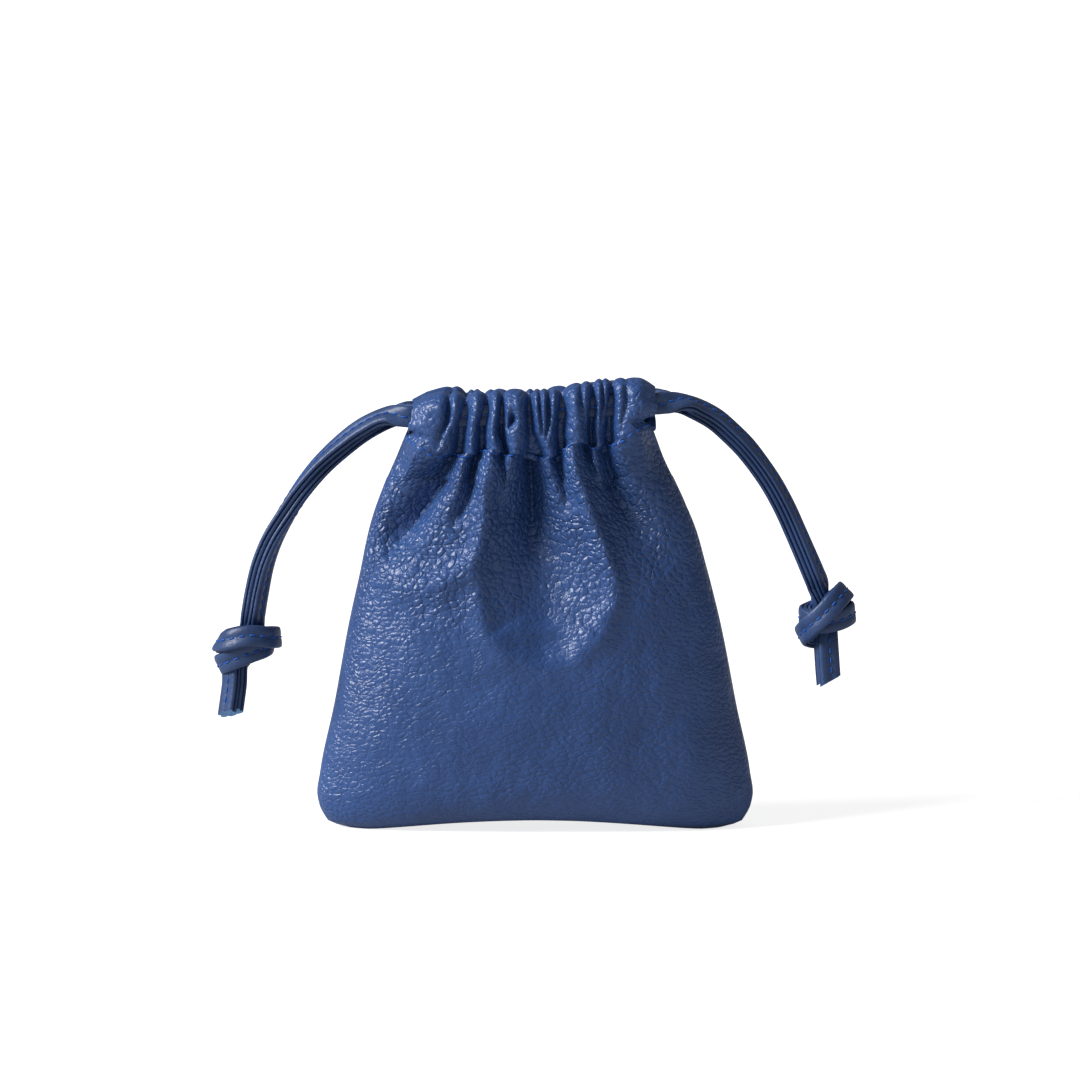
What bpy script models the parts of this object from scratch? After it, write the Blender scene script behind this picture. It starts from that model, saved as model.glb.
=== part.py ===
"""Drawstring pouch (kinchaku) in soft pebbled leather, drawn closed and standing on its bottom seam.

Two leather panels are sewn together along the sides and the bottom. Each panel's top is folded down
inside and stitched, which makes a channel that is open at both ends. Two drawcords run through both
channels. Each is a flat leather strap whose two ends come out at one side and are tied in a knot.

Metres, +Z up. The origin is on the floor under the middle of the body, and the front faces -Y.
"""

import math

import bmesh
import bpy
import numpy as np

NAME = "drawstring_pouch"
MM = 0.001

# Leather body
LEATHER = 1.2 * MM  # thickness of the panels
TOUCH_GAP = 0.3 * MM  # kept between pieces that touch
SEAM_Y = 0.3 * MM  # each panel's edges stop this far from the middle plane, beside the other panel's
# Half the body's width and half its depth at a few heights, in mm, up to the foot of the channel. The lowest
# pair gives the flat underside, which the pouch stands on.
WIDTH_KEYS = [(0.6, 57.5), (1.6, 60.4), (4, 63.0), (9, 64.8), (17, 64.2), (37, 60.0), (62, 55.4),
              (87, 49.0), (103, 42.6), (110, 39.2), (118, 37.4)]
DEPTH_KEYS = [(0.6, 9.2), (1.6, 11.4), (4, 13.6), (9, 15.8), (20, 18.2), (42, 19.4), (62, 18.6),
              (82, 16.2), (97, 13.6), (110, 12.0), (118, 11.0)]
BODY_HEIGHTS = [0.6, 1.6, 4, 9, 15, 22, 31, 41, 51, 61, 71, 80, 88, 95, 101]
COLUMNS = 24  # steps across a panel
SEAM_TOP = 106 * MM  # the side seams stop here, below the channel

# Channel for the drawcords
NECK_WIDTH = 36.8 * MM  # half the gathered width
TOP_HEIGHT = 131.0 * MM  # height of the fold at the middle
TOP_SLOPE = 0.045  # the fold rises towards +X
STITCH_HEIGHT = 111.0 * MM  # the channel's stitch line at the middle
STITCH_RISE = 5.0 * MM  # how much higher the stitch line is at the channel's ends
HEM_BELOW = 2.2 * MM  # leather that hangs below the stitch line inside
CHANNEL_Y = (5.9 * MM, 9.6 * MM)  # middle of the channel from the pouch's middle plane, at its ends and centre
CHANNEL_HALF = (3.75 * MM, 4.1 * MM)  # half the distance between the channel's two walls, at its ends and centre
CHANNEL_SHARES = [0.0, 0.14, 0.38, 0.68, 1.0]  # heights of a wall's rows; the wall bulges out by the second
FOLD_STEPS = 6

# Drawcords
STRAP_WIDTH = 6.2 * MM
STRAP_THICK = 2.6 * MM
LAYER = STRAP_THICK / 2 + TOUCH_GAP / 2  # each cord's distance from the middle of the channel
MOUTH = 40.0 * MM  # where a cord's free ends begin, measured from the middle
RUN_POINTS = 26  # points along a cord's run in one channel
RUN_PAST = 0.4 * MM  # how far the run goes past the channel's end before the cord turns back
SWAP = 12.0 * MM  # the two cords change places in a channel from this far before its middle to this far after
TURN_STEPS = 8
# Each cord's height at its own mouth, where it turns back, and in the channel's middle: one passes over the other
LEFT_HEIGHTS = (123.6 * MM, 121.5 * MM, 117.3 * MM)
RIGHT_HEIGHTS = (126.6 * MM, 121.5 * MM, 124.2 * MM)
CORD = 3.4 * MM  # a free end as a plain round cord
CORD_STEP = 7.0 * MM  # distance between a free end's points
STRAIGHT_OUT = 1.5 * MM  # a free end leaves the channel straight for this far
FIRST_FREE = 1  # the point of the middle line from which the two ends lie against each other
# Middle line of each side's two free ends, from the channel's mouth to the top of the knot, (x, z)
LEFT_ROUTE = [(-43.0, 122.7), (-50.4, 119.0), (-57.0, 113.7), (-63.9, 107.1), (-69.6, 99.9), (-74.0, 93.0),
              (-78.0, 86.0), (-80.8, 78.9), (-82.6, 71.0), (-83.8, 63.6), (-84.2, 61.2)]
RIGHT_ROUTE = [(43.5, 126.3), (48.0, 124.7), (53.4, 121.7), (57.9, 117.8), (62.1, 113.6), (66.5, 108.0),
               (70.4, 102.2), (74.1, 95.4), (77.1, 88.8), (80.4, 81.3), (82.8, 75.6), (83.6, 73.8)]
# Knots: centre (x, z), size (x, y, z) and lean about Y in degrees
LEFT_KNOT = ((-85.6, 52.9), (17.4, 15.0, 14.6), -8)
RIGHT_KNOT = ((86.2, 63.2), (14.6, 15.0, 18.6), -14)
KNOT_SWELL = 1.3  # makes up for the subdivision, which draws a cube in to about three quarters of its width
# Tails: start and end of each side's pair, (x, z)
LEFT_TAILS = ((-87.2, 44.6), (-90.6, 33.6))
RIGHT_TAILS = ((86.4, 52.4), (87.4, 43.6))
CORD_SPREAD = CORD / 2 + TOUCH_GAP / 2  # how far each of two cords is from their middle line

# Stitching along the channel
THREAD = 0.8 * MM
THREAD_POINTS = 28
THREAD_REACH = 0.93  # the share of the channel's width that the stitches cover
THREAD_CLEAR = 0.9 * MM  # from the leather's pinched face, which bulges above and below the stitches


def clear_scene():
    for item in list(bpy.data.objects):
        bpy.data.objects.remove(item, do_unlink=True)


def new_collection(name):
    made = bpy.data.collections.new(name)
    bpy.context.scene.collection.children.link(made)
    return made


def plain_material(name, colour, roughness):
    made = bpy.data.materials.new(name)
    made.use_nodes = True
    shader = made.node_tree.nodes["Principled BSDF"]
    shader.inputs["Base Color"].default_value = (*colour, 1)
    shader.inputs["Roughness"].default_value = roughness
    shader.inputs["Metallic"].default_value = 0
    return made


def smooth_through(keys, at):
    """The value at a height, on a smooth curve through (height, value) pairs."""
    heights = np.array([k[0] for k in keys], float)
    values = np.array([k[1] for k in keys], float)
    slopes = np.gradient(values, heights)
    at = min(max(at, heights[0]), heights[-1])
    i = int(min(np.searchsorted(heights, at, side="right") - 1, len(heights) - 2))
    step = heights[i + 1] - heights[i]
    t = (at - heights[i]) / step
    return (values[i] * (1 + 2 * t) * (1 - t) ** 2 + slopes[i] * step * t * (1 - t) ** 2
            + values[i + 1] * t * t * (3 - 2 * t) - slopes[i + 1] * step * t * t * (1 - t))


def curve_points(keys, step):
    """Points about one step apart on a smooth curve through the keys."""
    p = np.array(keys, float)
    ends = np.vstack([2 * p[0] - p[1], p, 2 * p[-1] - p[-2]])
    dense = []
    for a, b, c, d in zip(ends, ends[1:], ends[2:], ends[3:]):
        for t in np.linspace(0, 1, 12, endpoint=False):
            dense.append(0.5 * (2 * b + (c - a) * t + (2 * a - 5 * b + 4 * c - d) * t ** 2
                                + (3 * b - a - 3 * c + d) * t ** 3))
    dense.append(p[-1])
    dense = np.array(dense)
    along = np.concatenate([[0], np.cumsum(np.linalg.norm(np.diff(dense, axis=0), axis=1))])
    even = np.linspace(0, along[-1], max(2, round(along[-1] / step) + 1))
    return np.column_stack([np.interp(even, along, dense[:, k]) for k in range(3)])


def between(ends_and_centre, u):
    """A measure that changes from the channel's ends (u of -1 and 1) to its centre (u of 0)."""
    return ends_and_centre[1] + (ends_and_centre[0] - ends_and_centre[1]) * u * u


def top_height(u):
    return TOP_HEIGHT + TOP_SLOPE * NECK_WIDTH * u


def stitch_height(u):
    return STITCH_HEIGHT + STITCH_RISE * abs(u) ** 3


def body_row(height):
    """One row of a panel's points below the channel, from one side seam to the other."""
    half_width = smooth_through(WIDTH_KEYS, height) * MM
    half_depth = smooth_through(DEPTH_KEYS, height) * MM
    row = []
    for i in range(COLUMNS + 1):
        angle = math.pi * i / COLUMNS
        row.append((-half_width * math.cos(angle), SEAM_Y + (half_depth - SEAM_Y) * math.sin(angle), height * MM))
    return row


def channel_rows():
    """Rows from the top of the side seams over the fold and down inside to the hem's edge."""
    rows = []
    edge_to_stitch = [0.0, 0.5]
    for share in edge_to_stitch + CHANNEL_SHARES:
        rows.append(("outer", share, len(rows) >= len(edge_to_stitch)))
    for k in range(1, FOLD_STEPS):
        rows.append(("fold", k / FOLD_STEPS, True))
    for share in reversed(CHANNEL_SHARES):
        rows.append(("inner", share, True))
    rows.append(("hem", 0, True))
    made = []
    for wall, share, above_stitches in rows:
        row = []
        for i in range(COLUMNS + 1):
            angle = math.pi * i / COLUMNS
            u = -math.cos(angle)
            middle = between(CHANNEL_Y, u)
            half = between(CHANNEL_HALF, u)
            pinched = (LEATHER + TOUCH_GAP) / 2
            low = stitch_height(u)
            high = top_height(u) - half - LEATHER / 2
            if wall == "fold":
                y = middle + half * math.cos(math.pi * share)
                z = high + half * math.sin(math.pi * share)
            elif wall == "hem":
                y = middle - pinched
                z = low - HEM_BELOW
            elif above_stitches:
                open_half = pinched + (half - pinched) * min(1.0, share / CHANNEL_SHARES[1])
                y = middle + (open_half if wall == "outer" else -open_half)
                z = low + (high - low) * share
            else:
                seam_y = SEAM_Y + (between(CHANNEL_Y, 0) - SEAM_Y) * math.sin(angle)
                y = seam_y + (middle + pinched - seam_y) * share
                z = SEAM_TOP + (low - SEAM_TOP) * share
            below = wall == "outer" and not above_stitches
            half_width = smooth_through(WIDTH_KEYS, z / MM) * MM if below else NECK_WIDTH
            row.append((u * half_width, y, z))
        made.append(row)
    return made


def panel(name, side, material, collection):
    """A leather panel with its channel; side is -1 for the front and 1 for the back."""
    seam_row = [(x, SEAM_Y, z) for x, _, z in body_row(BODY_HEIGHTS[0])]
    rows = [seam_row] + [body_row(h) for h in BODY_HEIGHTS] + channel_rows()
    work = bmesh.new()
    bmesh.ops.create_grid(work, x_segments=COLUMNS, y_segments=len(rows) - 1, size=1)
    for vert in work.verts:
        i = round((vert.co.x + 1) / 2 * COLUMNS)
        j = round((vert.co.y + 1) / 2 * (len(rows) - 1))
        x, y, z = rows[j][i]
        vert.co = (x, side * y, z)
    bmesh.ops.remove_doubles(work, verts=work.verts, dist=1e-6)
    if side > 0:
        bmesh.ops.reverse_faces(work, faces=work.faces)
    mesh = bpy.data.meshes.new(name)
    work.to_mesh(mesh)
    work.free()
    mesh.shade_smooth()
    mesh.materials.append(material)
    made = bpy.data.objects.new(name, mesh)
    collection.objects.link(made)
    wall = made.modifiers.new("leather", "SOLIDIFY")
    wall.thickness = LEATHER
    wall.offset = 0
    wall.use_even_offset = True
    return made


def curve_object(name, points, material, collection, bevel, extrude=0.0):
    """A poly curve through the points, as a round cord or, with an extrude, as a flat strap on its edge."""
    data = bpy.data.curves.new(name, "CURVE")
    data.dimensions = "3D"
    data.twist_mode = "Z_UP"
    data.fill_mode = "FULL"
    data.bevel_depth = bevel
    data.bevel_resolution = 2
    data.extrude = extrude
    data.use_fill_caps = True
    line = data.splines.new("POLY")
    line.points.add(len(points) - 1)
    for spot, at in zip(line.points, points):
        spot.co = (*at, 1)
    data.materials.append(material)
    made = bpy.data.objects.new(name, data)
    collection.objects.link(made)
    return made


def drawcord(name, side, exit_height, turn_height, low, material, collection):
    """The stretch of a cord in both channels: in at one mouth, round at the other, and back."""
    front = []
    run = NECK_WIDTH + RUN_PAST
    for x in np.linspace(-MOUTH, run, RUN_POINTS):
        u = max(-1.0, min(1.0, x / NECK_WIDTH))
        swap = math.sin(max(-1.0, min(1.0, x / SWAP)) * math.pi / 2)
        height = exit_height + (turn_height - exit_height) * (x + MOUTH) / (run + MOUTH)
        dip = (low - (exit_height + turn_height) / 2) * 0.5 * (1 + math.cos(math.pi * max(-1, min(1, x / MOUTH))))
        front.append((x, -between(CHANNEL_Y, u) + LAYER * swap, height + dip))
    radius = -front[-1][1]
    turn = []
    for k in range(1, TURN_STEPS):
        angle = -math.pi / 2 + math.pi * k / TURN_STEPS
        turn.append((run + radius * math.cos(angle), radius * math.sin(angle), turn_height))
    back = [(x, -y, z) for x, y, z in reversed(front)]
    route = [(-side * x, y, z) for x, y, z in front + turn + back]
    half = STRAP_THICK / 2
    return curve_object(name, route, material, collection, half, STRAP_WIDTH / 2 - half)


def free_end_route(keys, exit_height, over, inner):
    """A free end from its own channel's mouth to the knot; over is 1 for the outer of the two, -1 for the inner."""
    side = 1 if keys[0][0] > 0 else -1
    middle = curve_points([(x * MM, 0, z * MM) for x, z in keys], CORD_STEP)
    along = np.gradient(middle, axis=0)
    along /= np.linalg.norm(along, axis=1)[:, None]
    outwards = np.column_stack([-along[:, 2], np.zeros(len(along)), along[:, 0]]) * side
    apart = (middle + outwards * CORD_SPREAD * over)[FIRST_FREE:]
    start = [(side * (MOUTH + TOUCH_GAP + out), inner, exit_height) for out in (0, STRAIGHT_OUT)]
    route = curve_points([start[1], *apart], CORD_STEP)
    return [start[0], *route]


def knot(name, place, material, collection):
    """A knot's outer shape: a rounded block."""
    (x, z), size, lean = place
    bpy.ops.mesh.primitive_cube_add(size=1, location=(x * MM, 0, z * MM), rotation=(0, math.radians(lean), 0))
    made = bpy.context.object
    made.name = name
    made.data.name = name
    for vert in made.data.vertices:
        vert.co = [c * s * MM * KNOT_SWELL for c, s in zip(vert.co, size)]
    rounded = made.modifiers.new("rounded", "SUBSURF")
    rounded.levels = 2
    rounded.render_levels = 2
    made.data.materials.append(material)
    for holder in list(made.users_collection):
        holder.objects.unlink(made)
    collection.objects.link(made)
    return made


def tails(name, ends, material, collection):
    """The two tails below a knot, each a short cord."""
    (x0, z0), (x1, z1) = ends
    for label, over in (("front", -1), ("back", 1)):
        y = over * CORD_SPREAD
        points = curve_points([(x0 * MM, y, z0 * MM), (x1 * MM, y, z1 * MM)], CORD_STEP)
        curve_object(f"{name}_{label}_tail", points, material, collection, CORD / 2)


def channel_thread(name, side, material, collection):
    """The line of stitches that closes a channel, lying on the leather's outer face."""
    points = []
    out = (LEATHER + TOUCH_GAP) / 2 + LEATHER / 2 + THREAD / 2 + THREAD_CLEAR
    for k in range(THREAD_POINTS):
        u = THREAD_REACH * (2 * k / (THREAD_POINTS - 1) - 1)
        width = smooth_through(WIDTH_KEYS, stitch_height(u) / MM) * MM
        points.append((u * width, side * (between(CHANNEL_Y, u) + out), stitch_height(u)))
    curve_object(name, points, material, collection, THREAD / 2)


def build():
    clear_scene()
    parts = new_collection(NAME)
    leather = plain_material("blue_leather", (0.05, 0.12, 0.33), 0.45)
    strap = plain_material("strap_leather", (0.04, 0.10, 0.28), 0.45)
    thread = plain_material("blue_thread", (0.02, 0.16, 0.62), 0.6)

    panel("front_panel", -1, leather, parts)
    panel("back_panel", 1, leather, parts)
    channel_thread("front_channel_thread", -1, thread, parts)
    channel_thread("back_channel_thread", 1, thread, parts)

    sides = (
        ("left", -1, LEFT_ROUTE, LEFT_KNOT, LEFT_TAILS, LEFT_HEIGHTS),
        ("right", 1, RIGHT_ROUTE, RIGHT_KNOT, RIGHT_TAILS, RIGHT_HEIGHTS),
    )
    for label, side, route, knot_place, tail_ends, (exit_height, turn_height, low) in sides:
        drawcord(f"{label}_drawcord", side, exit_height, turn_height, low, strap, parts)
        mouth_y = CHANNEL_Y[0] + LAYER
        for end, over, inner in (("front", -1, -mouth_y), ("back", 1, mouth_y)):
            points = free_end_route(route, exit_height, over, inner)
            curve_object(f"{label}_{end}_end", points, strap, parts, CORD / 2)
        knot(f"{label}_knot", knot_place, strap, parts)
        tails(label, tail_ends, strap, parts)


build()
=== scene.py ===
# %% [markdown]
# # A small leather drawstring pouch
#
# The pouch is two panels of soft pebbled leather, sewn at the sides and the bottom. Each panel's top is
# folded down inside and stitched, and two strap cords run through the channel that this makes. The frame
# below holds the pieces at their true size; this file gives them their pleats, grain, stitches and knots.

# %% Load the frame
import math

import bmesh
import bpy
import numpy as np
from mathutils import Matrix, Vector, noise


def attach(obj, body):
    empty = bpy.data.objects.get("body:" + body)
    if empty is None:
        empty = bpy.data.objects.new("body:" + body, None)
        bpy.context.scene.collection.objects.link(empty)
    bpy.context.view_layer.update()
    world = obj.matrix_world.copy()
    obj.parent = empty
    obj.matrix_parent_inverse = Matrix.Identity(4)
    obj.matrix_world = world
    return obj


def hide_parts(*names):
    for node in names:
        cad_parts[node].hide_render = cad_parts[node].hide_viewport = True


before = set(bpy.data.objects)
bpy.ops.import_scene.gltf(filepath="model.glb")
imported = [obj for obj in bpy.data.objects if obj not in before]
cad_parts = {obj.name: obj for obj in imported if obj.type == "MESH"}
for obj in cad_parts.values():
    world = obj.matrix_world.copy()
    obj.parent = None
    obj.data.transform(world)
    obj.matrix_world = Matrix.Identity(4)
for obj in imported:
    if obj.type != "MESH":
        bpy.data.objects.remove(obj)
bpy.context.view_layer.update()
MM = 0.001

# %% [markdown]
# ## Camera, floor and light
#
# The pouch is seen from the front, a little from above, through a long lens. One broad light comes from
# the upper left, a little in front, and the white surround only fills faintly, so folds that face right
# stay dull and dark. The floor and the surround look brighter than they light: a real studio does the same
# with lamps of their own, and two values here are simpler than more lamps.

# %% Camera
CAMERA_TILT = math.radians(7.0)
CAMERA_AWAY = 1.30  # metres
SENSOR = 36
VIEW_WIDTH = 0.3206  # metres across the view at the pouch
VIEW_CENTRE = Vector((1.5 * MM, 0, 86.3 * MM))

camera_data = bpy.data.cameras.new("camera")
camera_data.sensor_width = SENSOR
camera_data.lens = SENSOR * CAMERA_AWAY / VIEW_WIDTH
camera = bpy.data.objects.new("camera", camera_data)
bpy.context.scene.collection.objects.link(camera)
camera.location = VIEW_CENTRE + Vector((0, -math.cos(CAMERA_TILT), math.sin(CAMERA_TILT))) * CAMERA_AWAY
camera.rotation_euler = (math.pi / 2 - CAMERA_TILT, 0, 0)
bpy.context.scene.camera = camera
print("camera lens", round(camera_data.lens, 1))


# %% Shader maths
class Wire:
    """A shader socket that can be used in sums, so that a formula in Python adds its Math nodes."""

    def __init__(self, tree, socket):
        self.tree = tree
        self.socket = socket

    def node(self, kind, settings=None, out=0, **sockets):
        made = self.tree.nodes.new(kind)
        for key, value in (settings or {}).items():
            setattr(made, key, value)
        for key, value in sockets.items():
            target = made.inputs[int(key[2:])] if key.startswith("in") else made.inputs[key.replace("_", " ")]
            if isinstance(value, Wire):
                self.tree.links.new(value.socket, target)
            else:
                target.default_value = value
        return Wire(self.tree, made.outputs[out])

    def math(self, operation, a, b=0.0):
        return self.node("ShaderNodeMath", {"operation": operation}, in0=a, in1=b)

    def __add__(self, other):
        return self.math("ADD", self, other)

    __radd__ = __add__

    def __rsub__(self, other):
        return self.math("SUBTRACT", other, self)

    def __mul__(self, other):
        return self.math("MULTIPLY", self, other)

    __rmul__ = __mul__

    def ramp(self, low, high, to_low=0.0, to_high=1.0):
        """A smooth step from to_low to to_high as this value goes from low to high."""
        return self.node("ShaderNodeMapRange", {"interpolation_type": "SMOOTHSTEP"}, in0=self, in1=low,
                         in2=high, in3=to_low, in4=to_high)

    def mix(self, a, b):
        """A colour that goes from a to b as this value goes from 0 to 1."""
        return self.node("ShaderNodeMix", {"data_type": "RGBA"}, out=2, in0=self, in6=a, in7=b)


def material(name, roughness, specular=0.5):
    """A new Principled material, its tree's object coordinates, and its shader."""
    made = bpy.data.materials.new(name)
    made.use_nodes = True
    tree = made.node_tree
    shader = tree.nodes["Principled BSDF"]
    shader.inputs["Roughness"].default_value = roughness
    shader.inputs["Specular IOR Level"].default_value = specular
    spot = Wire(tree, tree.nodes.new("ShaderNodeTexCoord").outputs["Object"])
    return made, spot, shader


def plug(wire, shader, name):
    wire.tree.links.new(wire.socket, shader.inputs[name])


# %% Floor and lights
FLOOR_GLOW = (0.06, 0.06, 0.06, 1)
FLOOR_GLOW_SEEN = (0.80, 0.80, 0.80, 1)
SURROUND = 0.22
SURROUND_SEEN = 1.05
WHITE = (1, 1, 1, 1)

bpy.context.scene.view_settings.view_transform = "Standard"
floor_material, floor_spot, floor_shader = material("floor", 0.9, specular=0.1)
floor_shader.inputs["Base Color"].default_value = (0.55, 0.55, 0.56, 1)
floor_shader.inputs["Emission Strength"].default_value = 1.0
floor_seen = floor_spot.node("ShaderNodeLightPath")
plug(floor_seen.mix(FLOOR_GLOW, FLOOR_GLOW_SEEN), floor_shader, "Emission Color")
bpy.ops.mesh.primitive_plane_add(size=30, location=(0, 0, 0))
floor = bpy.context.object
floor.name = "floor"
floor.data.materials.append(floor_material)

world = bpy.data.worlds.new("studio")
world.use_nodes = True
world_tree = world.node_tree
seen = Wire(world_tree, world_tree.nodes.new("ShaderNodeLightPath").outputs["Is Camera Ray"])
surround = world_tree.nodes["Background"]
surround.inputs["Color"].default_value = WHITE
surround.inputs["Strength"].default_value = SURROUND
backdrop = seen.node("ShaderNodeBackground", Color=WHITE, Strength=SURROUND_SEEN)
both = seen.node("ShaderNodeMixShader", in0=seen, in1=Wire(world_tree, surround.outputs[0]), in2=backdrop)
world_tree.links.new(both.socket, world_tree.nodes["World Output"].inputs["Surface"])
bpy.context.scene.world = world


def broad_light(name, place, strength, angle, aim=(0, 0, 0.07)):
    """A sun from the direction of the place; a wide angle gives it soft shadows."""
    data = bpy.data.lights.new(name, "SUN")
    data.energy = strength
    data.angle = angle
    light = bpy.data.objects.new(name, data)
    bpy.context.scene.collection.objects.link(light)
    light.location = place
    light.rotation_euler = (Vector(aim) - Vector(place)).to_track_quat("-Z", "Y").to_euler()


broad_light("key", (-0.95, -0.38, 0.72), 4.3, math.radians(24))

# %% [markdown]
# ## The leather panels
#
# A panel is one sheet. From the bottom seam it rises over the filled body, narrows to the neck, is
# stitched to its own folded top, and goes over the fold and down inside. It could be a cloth simulation,
# but where each pleat lies decides how a gathered pouch looks, so the pleats are laid one by one: every
# furrow or ridge is a line over the leather with a width and a depth.

# %% Smooth curves through a few values
def smooth_through(keys, at):
    """The value at each place, on a smooth curve through (place, value) pairs."""
    places = np.array([k[0] for k in keys], float)
    values = np.array([k[1] for k in keys], float)
    slopes = np.gradient(values, places)
    at = np.clip(np.asarray(at, float), places[0], places[-1])
    i = np.clip(np.searchsorted(places, at, side="right") - 1, 0, len(places) - 2)
    step = places[i + 1] - places[i]
    t = (at - places[i]) / step
    return (values[i] * (1 + 2 * t) * (1 - t) ** 2 + slopes[i] * step * t * (1 - t) ** 2
            + values[i + 1] * t * t * (3 - 2 * t) - slopes[i + 1] * step * t * t * (1 - t))


def blend_in(low, high, at):
    """0 below low, 1 above high, and smooth between."""
    t = np.clip((np.asarray(at, float) - low) / (high - low), 0, 1)
    return t * t * (3 - 2 * t)


# %% [markdown]
# ### Sizes
#
# All lengths from here on are in millimetres, and a mesh turns them into metres at the end. A few heights
# are enough to say how wide and how deep the filled body is: leather sags into smooth curves between them.

# %% The panels' sizes, in millimetres
# (height, half the width), then (height, how far the body leans right), then (height, half the depth)
WIDTH = [(0, 56.0), (1.2, 60.4), (4, 63.2), (9, 65.0), (17, 64.2), (37, 60.0), (62, 55.2), (80, 50.9),
         (90, 48.4), (104, 42.8), (111, 39.6), (118, 36.8), (122, 35.0)]
LEAN = [(0, 0.0), (55, 0.0), (85, -0.5), (100, -1.2), (108, -1.5), (122, -1.3)]
DEPTH = [(0, 8.8), (1.2, 11.2), (4, 13.8), (9, 16.1), (20, 18.3), (42, 19.4), (62, 18.6), (82, 16.9),
         (97, 16.3), (106, 16.5), (122, 16.5)]
THICK = 1.2  # the leather
SEAM = 0.15  # a panel's edges stop this far from the middle plane
SEAM_TOP = 105.0
COLUMNS = 244  # faces across a panel
FINE = 1500  # points across a row, before they are spaced evenly
FOOT_ROWS = 4
FOOT_SHORT = 0.06  # the underside's rows start this share shorter, so the corners stay round
BODY_HEIGHTS = [0, 0.35, 1.0, 2.0, 3.2, 4.6, 6.2] + list(np.linspace(8, SEAM_TOP, 100))
SEAM_CALM = 0.45  # pleats fade out where the section's sine is under this, beside the side seams
ARCH_RISE = 3.4  # the underside's middle is this far off the floor
ARCH_HALF = 50.0
ARCH_FADE = 26.0
LIFT = 3.3  # how far the pleats' crests stand out of the channel's wall
CREST = 6.2  # and how far they stand out at the stitches, where the wall is pinched
NECK_HALF = 36.0  # half the width that the lines of stitches and of the fold's top are given over
NECK_STEPS = 14
NECK_OPEN = 5.0  # at the stitches, a panel's edges stand this far from the middle plane
CALM_ENDS = 0.12  # pleats fade over this share of half the width, at both ends of the channel
CHANNEL_STEPS = 32
FOLD_STEPS = 16
INSIDE_STEPS = 12
# Channel's middle and half its depth: at its ends, then halfway across
CHANNEL_MIDDLE = (5.9, 9.6)
CHANNEL_HALF = (3.75, 4.1)


def channel_middle(u):
    return CHANNEL_MIDDLE[1] + (CHANNEL_MIDDLE[0] - CHANNEL_MIDDLE[1]) * u * u


def channel_half(u):
    return CHANNEL_HALF[1] + (CHANNEL_HALF[0] - CHANNEL_HALF[1]) * u * u


# %% [markdown]
# ### Pleats
#
# A drawn cord pushes leather together into sharp furrows with round crests between. They fan out below the
# channel and end in soft valleys over the filled body. Each one is a line over the leather. Where furrows
# meet, the deeper one counts, as in real leather, so they don't add up to a hole.

# %% Furrows and ridges
def line_field(x, z, points, sharp):
    """The height of one furrow or ridge over the leather: points are (x, z, half width, height)."""
    nowhere_near = 1e9
    p = np.array(points, float)
    best = np.full(x.shape, nowhere_near)
    height = np.zeros(x.shape)
    for a, b in zip(p, p[1:]):
        run = b[:2] - a[:2]
        t = np.clip(((x - a[0]) * run[0] + (z - a[1]) * run[1]) / (run @ run), 0, 1)
        away = np.hypot(x - a[0] - t * run[0], z - a[1] - t * run[1])
        width = a[2] + (b[2] - a[2]) * t
        tall = a[3] + (b[3] - a[3]) * t
        share = away / width
        shape = np.exp(-share ** 1.2) if sharp else np.exp(-share ** 2)
        nearer = share < best
        best = np.where(nearer, share, best)
        height = np.where(nearer, tall * shape, height)
    return height


def relief(x, z, look):
    """All pleats together: where two furrows meet, the deeper one counts, so they don't add up."""
    deep = np.zeros(x.shape)
    for points in look["furrows"]:
        deep += np.abs(line_field(x, z, points, True)) ** 3
    total = -deep ** (1 / 3)
    for points in look["valleys"]:
        total -= line_field(x, z, points, False)
    for points in look["ridges"]:
        total += line_field(x, z, points, False)
    return total


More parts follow.
